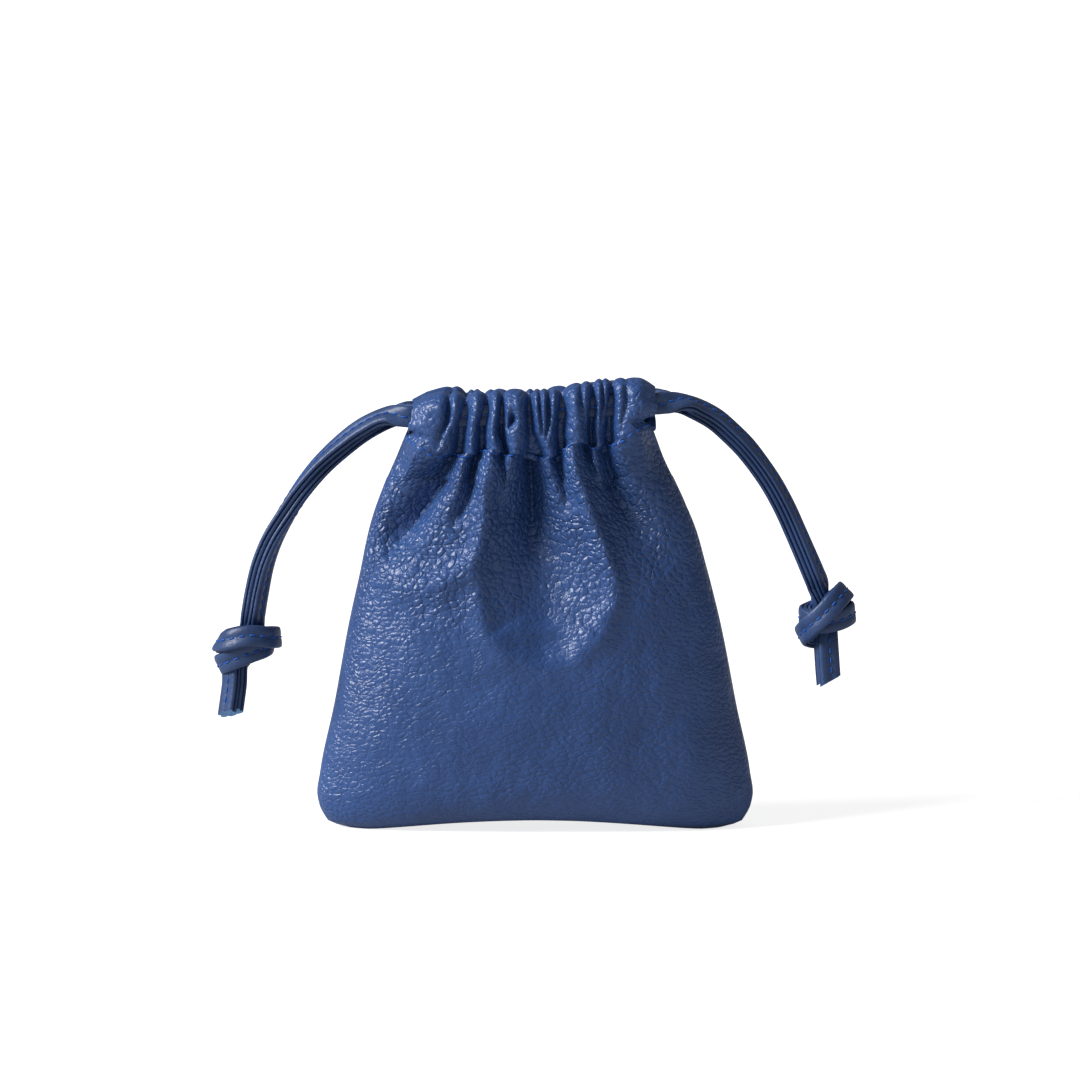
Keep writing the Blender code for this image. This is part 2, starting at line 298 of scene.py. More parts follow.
# %% Where the front panel's furrows lie
# Furrows, sharp at the bottom: (x, z, half width, depth), from the fold downwards
FRONT_FURROWS = [
    [(-24.2, 134, 1.12, 2.2), (-25.2, 127, 1.12, 4.4), (-25.6, 123, 1.12, 3.7), (-27.4, 119, 1.12, 1.8),
     (-28.2, 115, 1.25, 0.9)],
    [(-19, 135, 1.62, 3.3), (-20, 128, 1.62, 5.9), (-21.4, 121, 2, 7.7), (-22.3, 114, 2.12, 8.1),
     (-24.4, 109, 2.6, 7.2), (-28.5, 103, 3.4, 6.6), (-34, 96, 4, 5.8), (-40, 88.5, 4.2, 4.2),
     (-46, 81, 4.2, 0)],
    [(-13, 135, 1.25, 3.3), (-13.9, 128, 1.38, 5.9), (-15.5, 121, 1.62, 7.7), (-15.6, 113, 1.88, 8.1),
     (-17.2, 107, 1.7, 5.6), (-18.6, 101, 1.8, 3.8), (-21, 96, 2, 2.6), (-25, 91, 2.4, 0)],
    [(-8.6, 135, 1.12, 3.3), (-9.6, 127, 1.12, 5.5), (-9.9, 120, 1.38, 6.6), (-8.2, 113, 1.25, 5.7),
     (-7.6, 107, 1.1, 2.6),
     (-8.4, 101, 1.4, 0.8), (-9, 97, 1.6, 0)],
    [(-6.8, 126, 1, 1.7), (-6.6, 123.5, 1.25, 4.8), (-7.6, 121, 1.12, 2.2)],
    [(-1.2, 135, 1.38, 3.5), (-1.7, 127, 1.38, 6.8), (-1.3, 120, 1.5, 8.1), (-0.2, 114, 2.12, 9.5),
     (0.2, 108, 2.8, 9),
     (0.4, 101, 3.4, 7.4), (0, 94, 4, 5.2), (-0.5, 86, 5, 2.2), (0, 80, 5, 0)],
    [(1.2, 135, 0.88, 1.8), (1.4, 128, 0.88, 3.3), (2, 122, 0.88, 2.9), (2, 117, 1, 1.1)],
    [(4.6, 134, 0.88, 1.3), (4.1, 128, 1, 4.4), (3.9, 122, 1.12, 3.7), (3.2, 117, 1, 1.1)],
    [(6.8, 135, 1.5, 3.5), (8.1, 127, 1.62, 7), (7.4, 120, 1.88, 8.4), (8, 113, 2, 8.1), (9.4, 107, 1.7, 5),
     (10.8, 101, 2, 2.4), (11.2, 95, 2.2, 0)],
    [(13.7, 134, 0.88, 2.2), (13.5, 129, 0.88, 2.4), (14.6, 123, 1, 1.5), (15.2, 119, 1, 0.4)],
    [(16.9, 136, 1.25, 2.9), (17, 128, 1.25, 5.9), (16.4, 121, 1.5, 7.3), (16.6, 115, 1.62, 7),
     (17.8, 110, 1.7, 4.4),
     (20, 105, 2.2, 2.2), (22.5, 100, 2.4, 0)],
    [(19.6, 136, 0.88, 2.2), (20, 128, 0.88, 3.7), (19.4, 122, 1, 2.4), (19.2, 117, 1, 2.2)],
    [(22.8, 137, 1.25, 3.3), (22.3, 128, 1.38, 6.6), (21.5, 120, 1.75, 8.4), (21.9, 114, 2.12, 8.1),
     (23.4, 108, 2.4, 5.4),
     (26.5, 101, 3.2, 3.6), (30.5, 94, 4, 1.8), (35, 87, 4.6, 0)],
    [(26.3, 136, 1, 1.1), (26.8, 129, 1, 2), (25.6, 123, 1.12, 1.3), (24.8, 119, 1.12, 0)],
]

# %% Valleys and ridges
# Valleys, round at the bottom: (x, z, half width, depth)
FRONT_VALLEYS = [
    [(0.5, 113, 4.5, 2.0), (0.8, 104, 7.0, 5.4), (1.0, 95, 9.4, 7.4), (1.8, 84, 11.4, 8.0),
     (2.6, 75, 12.4, 7.2),
     (3.4, 67, 12.0, 5.4), (3.4, 61, 11.0, 3.2)],
    [(-28, 108, 3.5, 2.0), (-34, 99, 5.0, 3.4), (-41, 89, 5.6, 2.6), (-47, 80, 5.0, 0.0)],
    [(23.5, 107, 3.5, 2.0), (27, 98, 5.0, 3.2), (32, 89, 6.5, 2.4), (40, 79, 7.0, 0.0)],
]
# Ridges: (x, z, half width, height)
FRONT_RIDGES = [
    [(-37.5, 115, 2.4, 0.6), (-42.5, 105, 2.8, 1.4), (-46.5, 94, 3.0, 1.6), (-49.2, 84, 3.4, 1.2),
     (-51, 76, 4, 0.0)],
    [(-20.0, 110, 2.0, 1.0), (-23, 103, 3.0, 1.6), (-28, 97, 3.8, 1.6), (-33, 90, 4.6, 1.4),
     (-39, 83, 5.5, 1.0),
     (-44, 78, 6.0, 0.2)],
    [(-12.8, 110, 2.0, 1.0), (-13.4, 103, 2.6, 2.0), (-13.6, 94, 3.0, 2.4), (-15.5, 86, 3.4, 2.6),
     (-20.0, 79.5, 4.0, 2.6),
     (-28, 74.6, 4.4, 2.2), (-38, 73.6, 4.6, 1.4), (-48, 77, 4.8, 0.4)],
    [(12.5, 112, 2.4, 1.0), (14.6, 104, 2.6, 2.2), (17.4, 95, 2.8, 2.6), (20.6, 86, 3.0, 2.6),
     (23.0, 78, 3.2, 2.0),
     (23.4, 71, 3.6, 0.6), (22, 66, 3.6, 0.0)],
    [(-16.0, 84, 3.0, 0.8), (-16.5, 72, 3.4, 1.6), (-14.5, 61, 3.8, 1.4), (-7, 53.4, 4.2, 1.2),
     (3, 50.6, 4.2, 1.1),
     (12, 54.0, 4.0, 1.3), (19.0, 61.0, 3.8, 1.5), (22.6, 68, 3.6, 1.4), (23.6, 74, 3.4, 0.4)],
]

# %% Lines of the stitches and of the fold's top
# (x, height)
STITCHES = [(-37, 118.6), (-33, 116.4), (-30, 115.0), (-27.5, 113.2), (-24, 112.6), (-20, 112.9),
            (-16, 112.6),
            (-12.5, 114.4), (-9, 113.6), (-6, 112.9), (-3, 113.6), (0, 112.8), (4, 111.9), (7, 112.6),
            (11, 116.0),
            (14.5, 116.6), (17.5, 115.0), (20, 115.0), (22.6, 115.7), (26, 117.0), (30, 119.6), (34, 121.4)]
FRONT_TOP = [(-37, 126.8), (-34, 128.2), (-31, 129.4), (-27, 130.6), (-20, 130.8), (-10, 131.4),
             (0, 131.6), (8, 132.4),
             (14, 133.6), (20, 134.8), (27, 134.6), (33, 134), (36, 132.6)]
BACK_TOP = [(-37, 127.4), (-34, 128.4), (-30, 129.6), (-26, 130.6), (-14, 130), (0, 130.2), (12, 131.2),
            (22, 132.6),
            (29, 132.4), (36, 130.8)]


# %% [markdown]
# ### Rows over a panel
#
# A panel's outer face is built as rows from the middle of the underside up to the channel, over the fold
# and down inside, because each stretch has a simple section of its own: half an ellipse over the filled
# body, a pinch at the stitches, and a round tube in the channel. Depth counts outwards, for either panel.

# %% Sections of the body
def section(z, left_seam, right_seam):
    """Half the width and the depth at one height, and fine angles from the left seam to the right one."""
    width = float(smooth_through(WIDTH, z))
    depth = float(smooth_through(DEPTH, z))
    angle = np.linspace(math.pi - math.asin(left_seam / depth), math.asin(right_seam / depth), FINE)
    return width, depth, angle


def even_columns(row):
    """The row's points again, evenly spaced along it."""
    along = np.concatenate([[0], np.cumsum(np.linalg.norm(np.diff(row, axis=0), axis=1))])
    even = np.linspace(0, along[-1], COLUMNS + 1)
    return np.column_stack([np.interp(even, along, row[:, k]) for k in range(3)])


def seam_wander(z, end):
    """How far round to the front a side seam has rolled, in millimetres: it shows at the right."""
    most = 0.6 if end < 0 else 3.2
    return -most * float(blend_in(12, 45, z) * (1 - blend_in(90, 104, z)))


def foot_rows():
    """The flat underside, from the bottom seam out to the body's first row."""
    half = smooth_through(WIDTH, 0)
    angle = np.linspace(math.pi, 0, FINE)
    rows = []
    for k in range(FOOT_ROWS):
        share = k / FOOT_ROWS
        x = half * (1 - FOOT_SHORT + FOOT_SHORT * share) * np.cos(angle)
        y = SEAM + (DEPTH[0][1] - SEAM) * np.sin(angle) * share
        rows.append(np.column_stack([x, y, np.zeros(FINE)]))
    return rows


def body_rows(look, side):
    """The filled body, up to the top of the side seams. Pleats push straight out of its section."""
    rows = []
    for z in BODY_HEIGHTS:
        width, depth, angle = section(z, SEAM - side * seam_wander(z, -1), SEAM - side * seam_wander(z, 1))
        x = width * np.cos(angle)
        height = np.full_like(x, z)
        away = np.clip(np.sin(angle) / SEAM_CALM, 0, 1)
        push = relief(x, height, look) * away ** 0.8
        ny = np.sin(angle) * width
        nx = np.cos(angle) * depth
        norm = np.hypot(nx, ny)
        rows.append(np.column_stack([x + push * nx / norm + smooth_through(LEAN, z),
                                     depth * np.sin(angle) + push * ny / norm, height]))
    return rows


# %% Rows of the neck and the channel
def across_neck(look):
    """Across the neck: place from -1 to 1, stitches' height, channel's middle, pinched wall, calm ends."""
    u = -np.cos(np.linspace(0, math.pi, FINE))
    low = smooth_through(look["stitches"], u * NECK_HALF)
    middle = channel_middle(u)
    pinch = middle + THICK + 0.15
    edge = np.clip((1 - np.abs(u)) / CALM_ENDS, 0, 1)
    return u, low, middle, pinch, edge


def neck_rows(look):
    """From the side seams' top in to the stitches. The panels' edges part only close to the channel."""
    u, low, _, pinch, edge = across_neck(look)
    rows = []
    for share in np.linspace(0.0, 1, NECK_STEPS)[1:]:
        z = SEAM_TOP + (low - SEAM_TOP) * share
        x = u * smooth_through(WIDTH, z)
        ellipse = np.sin(np.arccos(-u)) * smooth_through(DEPTH, z)
        opened = share ** (3 - 2 * edge)
        y = np.maximum(ellipse * (1 - share) + opened * (pinch + CREST * edge), SEAM)
        y = np.maximum(y + relief(x, z, look) * (0.35 + 0.65 * edge), SEAM + opened * NECK_OPEN)
        rows.append(np.column_stack([x + smooth_through(LEAN, z), y, z]))
    return rows


def channel_rows(look):
    """Up the channel's outer wall, over its fold, and down inside."""
    u, low, middle, pinch, edge = across_neck(look)
    top_half = channel_half(u) + THICK / 2
    wall = middle + top_half
    left, right = look["ends"]
    top = smooth_through(look["top"], u * NECK_HALF) - top_half
    pleats = 0.25 + 0.75 * edge
    pleat_floor = middle + THICK + 0.2
    rows = []
    for share in np.linspace(0, 1, CHANNEL_STEPS)[1:]:
        z = low + (top - low) * share
        x = u * np.where(u < 0, smooth_through(left, share), smooth_through(right, share))
        swell = blend_in(0, 0.3, share)
        y = pinch + (wall - pinch) * swell + edge * (CREST + (LIFT * (1 - 0.25 * share) - CREST) * swell)
        y = y + relief(x, z, look) * pleats
        rows.append(np.column_stack([x, np.maximum(y, pleat_floor), z]))
    # Over the fold, where the pleats go on more weakly
    crest = relief(x, top + 2, look) * pleats * 0.8
    out_start = rows[-1][:, 1] - middle
    in_end = top_half * 0.9 + LIFT * 0.15 * edge + crest * 0.25
    rise = np.maximum(top_half + LIFT * edge * 0.25 + crest * 0.45, 1.6)
    for turn in np.linspace(0, math.pi, FOLD_STEPS)[1:]:
        share = blend_in(0, math.pi, turn)
        reach = out_start * (1 - share) + in_end * share
        rows.append(np.column_stack([x, middle + reach * math.cos(turn), top + rise * math.sin(turn)]))
    # Down inside, back to the stitches
    inside = rows[-1][:, 1]
    for share in np.linspace(1, 0, INSIDE_STEPS)[1:]:
        z = low - 2 + (top - low + 2) * share
        y = inside + (pinch - THICK - 0.3 - inside) * (1 - blend_in(0, 0.4, share))
        rows.append(np.column_stack([x, y, z]))
    return rows


# %% [markdown]
# ### From rows to leather
#
# The rows become an even grid. Soft bumps keep the body from looking moulded, and small wrinkles gather
# along the stitches. The underside's middle is lifted a little, as a pouch stands on its two corners. The
# sheet then gets its thickness on the inside, as a modifier, since the outer face is what has true size.

# %% Build a panel
def arch(x, z):
    """The height of points near the underside, whose middle lies a little off the floor."""
    lift = ARCH_RISE * np.clip(1 - (x / ARCH_HALF) ** 2, 0, 1) ** 1.3
    return z + lift * np.clip(1 - z / ARCH_FADE, 0, 1) ** 2


def dents(x, y, z, size, seed):
    """Smooth noise at each point, with features of about the size."""
    return np.array([noise.noise(Vector((a / size + seed, b / size, c / size))) for a, b, c in zip(x, y, z)])


def soften(flat, seed):
    """Moves the points of a grid, given as a flat list, into the arch, the bumps and the wrinkles."""
    x, y, z = flat.T
    flat[:, 2] = arch(x, z)
    out = dents(x, y, z, 14.0, seed) * 0.5
    out += dents(x, y, z, 5.0, seed + 9) * 0.22
    # Small wrinkles along the stitches and up in the channel
    gather = np.exp(-((z - 117) / 9.0) ** 2)
    out -= gather * 0.6 * np.abs(dents(x, y * 0, z * 1.7, 4.2, seed + 20))
    out -= gather * 0.6 * np.abs(dents(x * 1.5, y * 0, z * 0.8, 3.4, seed + 31))
    flat[:, 1] += out * blend_in(0.5, 6, z) * (y > 3)


def place_piece(name, mesh, nodes):
    """The mesh as a smooth piece on the one body, in place of its CAD nodes."""
    mesh.shade_smooth()
    made = bpy.data.objects.new(name, mesh)
    bpy.context.scene.collection.objects.link(made)
    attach(made, "root")
    if nodes:
        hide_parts(*nodes)
    return made


def panel_mesh(name, grid, side):
    """The grid of rows as a mesh whose normals look out of the pouch."""
    work = bmesh.new()
    last = len(grid) - 1
    bmesh.ops.create_grid(work, x_segments=COLUMNS, y_segments=last, size=1)
    work.verts.ensure_lookup_table()
    for vert in work.verts:
        i = round((vert.co.x + 1) / 2 * COLUMNS)
        j = round((vert.co.y + 1) / 2 * last)
        x, y, z = grid[j, i]
        vert.co = (x * MM, side * y * MM, z * MM)
    bmesh.ops.remove_doubles(work, verts=work.verts, dist=1e-6)
    if side > 0:
        bmesh.ops.reverse_faces(work, faces=work.faces)
    mesh = bpy.data.meshes.new(name)
    work.to_mesh(mesh)
    work.free()
    return mesh


def build_panel(name, node, side, look):
    """A panel and its line of stitches. Side is -1 for the front and 1 for the back."""
    below = foot_rows() + body_rows(look, side) + neck_rows(look)
    rows = below + channel_rows(look)
    stitch_row = len(below) - 1
    grid = np.array([even_columns(r) for r in rows])
    soften(grid.reshape(-1, 3), look["seed"])
    stitched = grid[stitch_row]
    for near, sink in ((-1, 0.25), (0, 0.5), (1, 0.25)):
        grid[stitch_row + near][:, 1] -= sink
    made = place_piece(name, panel_mesh(name, grid, side), [node])
    wall = made.modifiers.new("leather", "SOLIDIFY")
    wall.thickness = THICK * MM
    wall.offset = -1
    print(name, len(made.data.polygons), "faces before its thickness")
    return made, np.column_stack([stitched[:, 0], side * stitched[:, 1], stitched[:, 2]])


# %% [markdown]
# ### The two panels
#
# The back panel is gathered by the same cords, so its pleats are the front's, seen from behind and a little
# shallower, with a crest line of its own. The ends' curves say how wide the channel is as it goes up.

# %% Front and back
front_look = {"furrows": FRONT_FURROWS, "valleys": FRONT_VALLEYS, "ridges": FRONT_RIDGES, "seed": 3.1,
              "stitches": STITCHES, "top": FRONT_TOP,
              "ends": ([(0, 37.8), (0.25, 35.8), (0.5, 37.2), (0.75, 37.2), (1, 36.4)],
                       [(0, 34.0), (0.2, 31.9), (0.46, 34.9), (0.73, 36.0), (0.88, 36.2), (1, 35.4)])}
front_panel, front_seam = build_panel("front_leather", "front_panel", -1, front_look)
BACK_SPREAD = 0.96
BACK_SHIFT = 1.0
BACK_DEPTH = 0.9


def mirrored(lines):
    """The front's pleats, as they lie on the back."""
    return [[(-BACK_SPREAD * x + BACK_SHIFT, z, w, d * BACK_DEPTH) for x, z, w, d in line] for line in lines]


back_look = {key: mirrored(front_look[key]) for key in ("furrows", "valleys", "ridges")}
back_look.update({"seed": 11.3, "stitches": [(-x, z + 0.6) for x, z in STITCHES[::-1]], "top": BACK_TOP,
                  "ends": ([(0, 36.0), (0.25, 35.8), (0.5, 37.0), (1, 36.4)],
                           [(0, 36.0), (0.25, 34.6), (0.6, 35.6), (1, 35.0)])})
back_panel, back_seam = build_panel("back_leather", "back_panel", 1, back_look)

# %% [markdown]
# ## Stitches
#
# A stitch is a short length of thread that dips into the leather at both ends. A thread could be one long
# curve, but only its outer halves ever show, so one stitch is modelled as rings that sink at both ends, and
# copied along each line of sewing.

# %% Threads
STITCH_PITCH = 2.9
STITCH_LONG = 1.95
THREAD = 0.52  # its thickness
STITCH_SIDES = 7
STITCH_RINGS = 7
ABOVE_LEATHER = 0.12


def one_stitch():
    """A stitch along X: a few rings that are full in the middle and dip at the ends. Points and faces."""
    points, faces = [], []
    for t in np.linspace(-1, 1, STITCH_RINGS):
        fat = THREAD / 2 * (1 - 0.75 * t ** 6)
        sink = -0.32 * THREAD * t ** 4
        for k in range(STITCH_SIDES):
            turn = 2 * math.pi * k / STITCH_SIDES
            points.append((t * STITCH_LONG / 2, fat * math.cos(turn), fat * math.sin(turn) + sink))
    for r in range(STITCH_RINGS - 1):
        for k in range(STITCH_SIDES):
            a = r * STITCH_SIDES + k
            b = r * STITCH_SIDES + (k + 1) % STITCH_SIDES
            faces.append((a, a + STITCH_SIDES, b + STITCH_SIDES, b))
    last = (STITCH_RINGS - 1) * STITCH_SIDES
    faces.append(tuple(range(STITCH_SIDES)))
    faces.append(tuple(range(last, last + STITCH_SIDES))[::-1])
    return np.array(points), faces


STITCH_POINTS, STITCH_FACES = one_stitch()


def unit(v):
    v = np.asarray(v, float)
    return v / max(np.linalg.norm(v), 1e-9)


def sew(name, spots, nodes=()):
    """Copies of the stitch, joined in one piece: spots are (place, along, outwards) in millimetres."""
    points, faces = [], []
    for place, along, outwards in spots:
        x = unit(along)
        z = unit(outwards - np.dot(outwards, x) * x)
        y = np.cross(z, x)
        faces += [tuple(i + len(points) for i in f) for f in STITCH_FACES]
        points += list((place + STITCH_POINTS @ np.array([x, y, z])) * MM)
    mesh = bpy.data.meshes.new(name)
    mesh.from_pydata([tuple(p) for p in points], [], faces)
    mesh.update()
    return place_piece(name, mesh, nodes)


def along_line(line, pitch):
    """Places at even steps along a line of points, the direction at each, and how far along it is."""
    near = 0.4
    far = np.concatenate([[0], np.cumsum(np.linalg.norm(np.diff(line, axis=0), axis=1))])
    at = np.arange(pitch / 2, far[-1] - pitch / 2, pitch)
    place = np.column_stack([np.interp(at, far, line[:, k]) for k in range(3)])
    ahead = np.column_stack([np.interp(at + near, far, line[:, k]) for k in range(3)])
    behind = np.column_stack([np.interp(at - near, far, line[:, k]) for k in range(3)])
    return place, ahead - behind, at


def channel_thread(name, node, seam, side):
    """Stitches along a panel's row, on its outer face."""
    place, along, _ = along_line(seam, STITCH_PITCH)
    spots = []
    for p, d in zip(place, along):
        outwards = np.cross(d, (0, 0, 1)) if side < 0 else np.cross((0, 0, 1), d)
        spots.append((p + unit(outwards) * ABOVE_LEATHER, d, outwards))
    return sew(name, spots, [node])


front_thread = channel_thread("front_channel_stitches", "front_channel_thread", front_seam, -1)
back_thread = channel_thread("back_channel_stitches", "back_channel_thread", back_seam, 1)

# %% [markdown]
# ## Drawcords
#
# Each cord is a flat strap: a strip folded to two layers and sewn down its middle. Its two ends leave the
# channels side by side, lie face to face in an arc, and are tied together in one knot. Leather this stiff
# bends only across its face, so each strap is a section swept along a line that also says where its face
# looks. A simulated rope would twist freely, and would not show the flat bands of the knot.

# %% A strap
STRAP_HALF_WIDE = 3.15
STRAP_HALF_THICK = 1.3
STRAP_STEP = 0.8  # between two sections
CURVE_STEPS = 24  # points on the smooth curve between two given ones
TIP_STEPS = 5  # sections over which the end slants to its cut
SHARP = math.radians(50)
GROOVE_SINK = 0.02  # the stitches lie this far below the face, in their groove


def strap_section():
    """The strap's cross section, across and through: two layers with a groove along both edges."""
    w, t = STRAP_HALF_WIDE, STRAP_HALF_THICK
    corner = 0.62
    points = []
    for sign in (1, -1):
        face = [(-w + corner + 0.1, t), (-w * 0.55, t + 0.06), (-0.55, t + 0.02), (-0.3, t - 0.14),
                (0.3, t - 0.14), (0.55, t + 0.02), (w * 0.55, t + 0.06), (w - corner - 0.1, t)]
        edge = [(w - 0.2, t - 0.2), (w, t - corner), (w - 0.05, 0.32), (w - 0.85, 0.0), (w - 0.05, -0.32),
                (w, -t + corner), (w - 0.2, -t + 0.2)]
        points += [(sign * x, sign * y) for x, y in face + edge]
    return np.array(points)


SECTION = strap_section()


def smooth_line(points, step):
    """Points about a step apart on a smooth curve through the given ones."""
    p = np.array(points, float)
    ends = np.vstack([2 * p[0] - p[1], p, 2 * p[-1] - p[-2]])
    dense = []
    for a, b, c, d in zip(ends, ends[1:], ends[2:], ends[3:]):
        ta = max(np.linalg.norm(b[:3] - a[:3]), 1e-6) ** 0.5
        tb = max(np.linalg.norm(c[:3] - b[:3]), 1e-6) ** 0.5
        tc = max(np.linalg.norm(d[:3] - c[:3]), 1e-6) ** 0.5
        m1 = (c - b + tb * ((b - a) / ta - (c - a) / (ta + tb)))
        m2 = (c - b + tb * ((d - c) / tc - (d - b) / (tb + tc)))
        for t in np.linspace(0, 1, CURVE_STEPS, endpoint=False):
            dense.append((2 * t ** 3 - 3 * t ** 2 + 1) * b + (t ** 3 - 2 * t ** 2 + t) * m1
                         + (-2 * t ** 3 + 3 * t ** 2) * c + (t ** 3 - t ** 2) * m2)
    dense.append(p[-1])
    dense = np.array(dense)
    far = np.concatenate([[0], np.cumsum(np.linalg.norm(np.diff(dense[:, :3], axis=0), axis=1))])
    even = np.linspace(0, far[-1], max(2, round(far[-1] / step) + 1))
    return np.column_stack([np.interp(even, far, dense[:, k]) for k in range(dense.shape[1])])


def strap_frames(line):
    """(place, along, outwards) for each point of a line whose columns are place and face direction."""
    place = line[:, :3]
    along = np.gradient(place, axis=0)
    along /= np.linalg.norm(along, axis=1)[:, None]
    out = line[:, 3:6] - (line[:, 3:6] * along).sum(1)[:, None] * along
    out /= np.maximum(np.linalg.norm(out, axis=1), 1e-6)[:, None]
    return place, along, out


def strap_mesh(name, place, along, out, slant, bevel):
    """The section swept along the places. At its last few, the end slants across and through to its cut."""
    across = np.cross(along, out)
    work = bmesh.new()
    rings = []
    for i in range(len(place)):
        last = blend_in(len(place) - TIP_STEPS, len(place) - 1, i)
        ring = []
        for x, y in SECTION:
            spot = place[i] + across[i] * x + out[i] * y + along[i] * last * (slant * x + bevel * y)
            ring.append(work.verts.new(tuple(spot * MM)))
        rings.append(ring)
    count = len(SECTION)
    for a, b in zip(rings, rings[1:]):
        for k in range(count):
            work.faces.new((a[k], a[(k + 1) % count], b[(k + 1) % count], b[k]))
    work.faces.new(rings[0][::-1])
    tip = work.faces.new(rings[-1])
    tip.material_index = 1
    bmesh.ops.recalc_face_normals(work, faces=work.faces)
    mesh = bpy.data.meshes.new(name)
    work.to_mesh(mesh)
    work.free()
    return mesh


def build_strap(name, line, nodes, exit_at=None, slant=0.0, bevel=0.0):
    """A strap, its thread, and the CAD nodes they stand for. The line runs from the channel to the tail."""
    place, along, out = strap_frames(line)
    made = place_piece(name, strap_mesh(name, place, along, out, slant, bevel), nodes)
    made.data.set_sharp_from_angle(angle=SHARP)
    where, ahead, at = along_line(place, STITCH_PITCH)
    far = np.concatenate([[0], np.cumsum(np.linalg.norm(np.diff(place, axis=0), axis=1))])
    faces = np.column_stack([np.interp(at, far, out[:, k]) for k in range(3)])
    spots = []
    for p, d, n in zip(where, ahead, faces):
        for sign in (1, -1):
            spots.append((p + unit(n) * sign * (STRAP_HALF_THICK - GROOVE_SINK), d, n * sign))
    thread = sew(name + "_thread", spots)
    if exit_at is not None:
        [tuple(p * MM) for p in place]
    return made, thread


# %% [markdown]
# ### Free ends
#
# From its mouth in the channel a pair of ends rises a little, bends over in an arc, and hangs to its knot.
# The knot is an overhand tie of both straps at once: round behind, over in front, round again, and down
# through the loop. It is laid as two turns whose bands cross in front, which is how it looks when pulled
# tight. The outer strap and the inner one follow the same line, one strap's thickness apart.

# %% Routes of the free ends
BESIDE = 1.45  # a strap in its channel's mouth lies this far out of the channel's middle
STRAP_APART = 1.36  # from the bundle's middle line to a strap's own middle
MOUTH_APART = 4.6  # from the middle plane to each strap where the arc starts
CLOSING = 9.0  # how fast the two come together along the arc
EXIT_AT = 37.5  # from the middle of the body to a mouth's rim
TAIL_SLANT = 0.38
TAIL_BEVEL = -0.35
# Bundle's middle line: x, z, then how far its faces turn towards the front, in degrees
LEFT_ARC = [(-43.0, 122.9, 34), (-50.4, 119.4, 30), (-57.0, 114.4, 24), (-63.9, 107.8, 14),
            (-69.6, 100.6, 5),
            (-74.0, 93.6, -4), (-78.0, 86.4, -14), (-80.8, 79.0, -22), (-82.6, 71.0, -28),
            (-83.8, 64.0, -30)]
RIGHT_ARC = [(43.5, 126.8, 24), (48.0, 125.2, 22), (53.4, 122.2, 22), (57.9, 118.3, 22), (62.1, 114.1, 22),
             (66.5, 108.5, 20), (70.4, 102.7, 20), (74.1, 95.9, 20), (77.1, 89.3, 20), (80.4, 81.8, 22),
             (82.8, 76.2, 24)]
# A knot's route about its own middle: x, y, z, then the direction that the outer strap's face looks in
LEFT_TIE = [
    (1.4, 1.2, 6.5, -0.8, 0.6, 0), (0.6, 2.6, 0.5, -0.5, 0.85, 0), (-1.6, 3.4, -4.0, -0.3, 1, -0.4),
    (-4.8, 2.0, -6.4, -0.6, 0.5, -0.9), (-6.4, -1.2, -5.0, -1, -0.1, -0.5),
    (-4.0, -4.8, -3.4, -0.6, -1, -0.3),
    (0.6, -5.6, -1.2, 0.1, -1, -0.1), (4.6, -3.0, 0.2, 0.9, -0.6, 0), (5.0, 2.0, 1.2, 1, 0.5, 0),
    (0.5, 5.4, 1.8, 0, 1, 0.1), (-4.9, 3.6, 0.8, -0.8, 0.8, 0.35), (-6.9, -1.3, 0.2, -0.9, -0.3, 0.6),
    (-4.4, -6.6, 2.0, -0.5, -1, 0.45), (1.2, -7.9, 3.7, 0.15, -1, 0.3), (6.2, -5.2, 3.0, 0.85, -0.7, 0.1),
    (7.4, 0.2, 2.2, 1, 0.1, 0.1), (4.2, 4.4, 1.6, 0.6, 0.9, 0), (0.0, 3.6, 0.6, -0.3, 0.95, 0),
    (-2.4, 0.6, -3.0, -0.9, -0.2, 0), (-3.6, -1.8, -6.6, -0.75, -0.66, 0),
]
RIGHT_TIE = [
    (-1.9, 1.2, 8.6, 0.9, -0.4, 0.3), (-0.9, 2.2, 2.5, 0.9, 0.3, 0.1), (0.0, 3.2, -3.0, 0.5, 0.9, -0.2),
    (-2.6, 2.6, -6.4, -0.2, 0.6, -1), (-5.4, -0.6, -5.6, -0.95, -0.2, -0.4),
    (-4.4, -5.2, -2.8, -0.5, -1, 0),
    (-0.6, -7.2, 1.4, -0.1, -1, 0.15), (3.0, -5.6, 5.4, 0.35, -0.85, 0.4),
    (4.8, -0.6, 6.4, 0.7, -0.05, 0.7),
    (3.4, 4.6, 3.8, 0.4, 1, 0.3), (-1.6, 5.6, 0.8, -0.3, 1, 0), (-5.0, 1.8, -0.6, -1, 0.2, 0),
    (-2.2, -3.2, -1.8, -0.4, -1, 0), (3.2, -4.6, -0.6, 0.4, -1, 0), (6.4, -1.2, 0.8, 1, -0.2, 0.1),
    (4.6, 3.0, 0.8, 0.7, 0.8, 0), (0.8, 2.2, -1.0, 0.4, 0.9, 0), (0.2, -0.4, -4.2, 0.35, -0.94, 0),
    (0.3, -2.2, -8.0, 0.35, -0.94, 0),
]
LEFT_TIE_AT = (-85.6, 0, 54.8)
RIGHT_TIE_AT = (86.2, 0, 63.8)
# Tails' middle line, from the knot to the cut: x, y, z, then the direction that the face looks in
LEFT_TAIL = [(-89.4, -2.4, 43.6, -0.75, -0.66, 0), (-90.0, -2.8, 39.0, -0.75, -0.66, 0),
             (-90.6, -3.2, 34.8, -0.75, -0.66, 0)]
RIGHT_TAIL = [(86.7, -2.8, 52.4, 0.35, -0.94, 0), (87.0, -3.0, 48.0, 0.35, -0.94, 0),
              (87.3, -3.2, 44.6, 0.35, -0.94, 0)]


